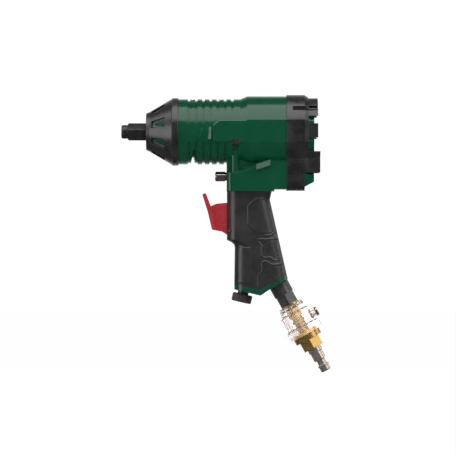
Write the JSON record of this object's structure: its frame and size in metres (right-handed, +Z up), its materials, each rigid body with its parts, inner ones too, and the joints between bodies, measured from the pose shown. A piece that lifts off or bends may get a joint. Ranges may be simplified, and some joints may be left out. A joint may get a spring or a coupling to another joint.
{
  "type": "impact wrench",
  "caption": "Pneumatic pistol-grip impact wrench with square drive, ribbed barrel, rubber bumpers and grip, trigger, push-button reverse, regulator knob, clear in-line oiler and air plug.",
  "frame": {"origin": "centre of the anvil's tip, on the drive line", "axes": "+X along the drive line from the anvil's tip to the rear, +Z up away from the handle, Y across the tool"},
  "size_m": [0.1986, 0.0668, 0.2636],
  "materials": {
    "green_paint": "satin green paint on cast aluminium",
    "black_boot": "moulded thermoplastic rubber",
    "grip_rubber": "overmoulded rubber",
    "phosphated_steel": "phosphated and oiled",
    "ground_steel": "ground",
    "hardened_steel": "heat treated",
    "bearing_bronze": "turned",
    "chromed_steel": "polished",
    "zinc_steel": "zinc plated",
    "red_plastic": "moulded nylon",
    "black_plastic": "moulded nylon",
    "black_steel": "black coated",
    "brass": "turned",
    "clear_bowl": "moulded clear polycarbonate",
    "nickel_plate": "nickel plated",
    "seal_rubber": "nitrile",
    "felt": "pressed felt",
    "vane_composite": "cotton phenolic",
    "gasket_paper": "fibre gasket"
  },
  "bodies": {
    "casing": {"anvil_bushing": "bearing_bronze", "nose_bumper": "black_boot", "cylinder": "ground_steel", "cylinder_dowel": "ground_steel", "front_end_plate": "ground_steel", "rear_end_plate": "ground_steel", "front_bearing_outer_ring": "ground_steel", "rear_bearing_outer_ring": "ground_steel", "motor_housing": "green_paint", "grip_sleeve": "grip_rubber", "rear_gasket": "gasket_paper", "rear_cap": "green_paint", "rear_bumper": "black_boot", "rear_cap_screws": "zinc_steel", "screw_washers": "zinc_steel", "reverse_bushing": "brass", "trigger_pin": "ground_steel", "throttle_bushing": "brass", "throttle_spring": "ground_steel", "exhaust_muffler": "felt", "exhaust_screen": "black_plastic", "inlet_bushing": "black_steel", "inlet_strainer": "zinc_steel", "oiler_head": "brass", "oiler_bowl": "clear_bowl", "oiler_base": "brass", "oiler_seal": "seal_rubber", "oiler_wick": "felt", "fill_screw_seal": "seal_rubber", "air_plug": "nickel_plate", "oiler_fill_screw": "nickel_plate"},
    "anvil": {"anvil": "phosphated_steel", "anvil_retaining_ring": "phosphated_steel", "anvil_ring_seal": "seal_rubber"},
    "hammer_and_rotor": {"hammer_cage": "hardened_steel", "hammer_pins": "ground_steel", "rotor": "hardened_steel", "rotor_vanes": "vane_composite", "front_bearing_inner_ring": "ground_steel", "front_bearing_balls": "ground_steel", "rear_bearing_inner_ring": "ground_steel", "rear_bearing_balls": "ground_steel"},
    "front_dog": {"front_hammer_dog": "hardened_steel"},
    "rear_dog": {"rear_hammer_dog": "hardened_steel"},
    "reverse_shuttle": {"reverse_spool": "ground_steel", "reverse_seals": "seal_rubber", "reverse_front_button": "chromed_steel", "reverse_rear_button": "chromed_steel"},
    "trigger": {"trigger": "red_plastic"},
    "throttle": {"throttle_stem": "ground_steel", "throttle_valve": "brass"},
    "regulator": {"regulator_spool": "black_steel", "regulator_seal": "seal_rubber", "regulator_knob": "black_plastic"}
  },
  "joints": [
    {"name": "hammer_spin", "type": "hinge", "parent": "casing", "child": "hammer_and_rotor", "pos_m": [0.07, 0, 0], "axis": [1, 0, 0], "continuous": true},
    {"name": "anvil_spin", "type": "hinge", "parent": "casing", "child": "anvil", "pos_m": [0.03, 0, 0], "axis": [1, 0, 0], "continuous": true},
    {"name": "front_dog_rock", "type": "hinge", "parent": "hammer_and_rotor", "child": "front_dog", "pos_m": [0.0628, 0, 0.0165], "axis": [1, 0, 0], "range_deg": [-4, 4]},
    {"name": "rear_dog_rock", "type": "hinge", "parent": "hammer_and_rotor", "child": "rear_dog", "pos_m": [0.0767, 0, -0.0165], "axis": [1, 0, 0], "range_deg": [-4, 4]},
    {"name": "reverse_slide", "type": "slide", "parent": "casing", "child": "reverse_shuttle", "axis": [1, 0, 0], "range_m": [0, 0.008]},
    {"name": "trigger_pull", "type": "hinge", "parent": "casing", "child": "trigger", "pos_m": [0.1034, 0, -0.0939], "axis": [0, 1, 0], "range_deg": [0, 12], "stiffness_Nm_per_rad": 0.6, "springref_deg": -11.46},
    {"name": "throttle_slide", "type": "slide", "parent": "casing", "child": "throttle", "axis": [1, 0, 0], "range_m": [0, 0.0034], "deforming": ["throttle_spring"]},
    {"name": "regulator_turn", "type": "hinge", "parent": "casing", "child": "regulator", "pos_m": [0.1159, 0, -0.15145], "axis": [-0.225, 0, -0.9744], "range_deg": [0, 90]}
  ],
  "couplings": [
    {"joint": "anvil_spin", "follows": "hammer_spin", "ratio": 1},
    {"joint": "throttle_slide", "follows": "trigger_pull", "m_per_rad": 0.0159}
  ]
}
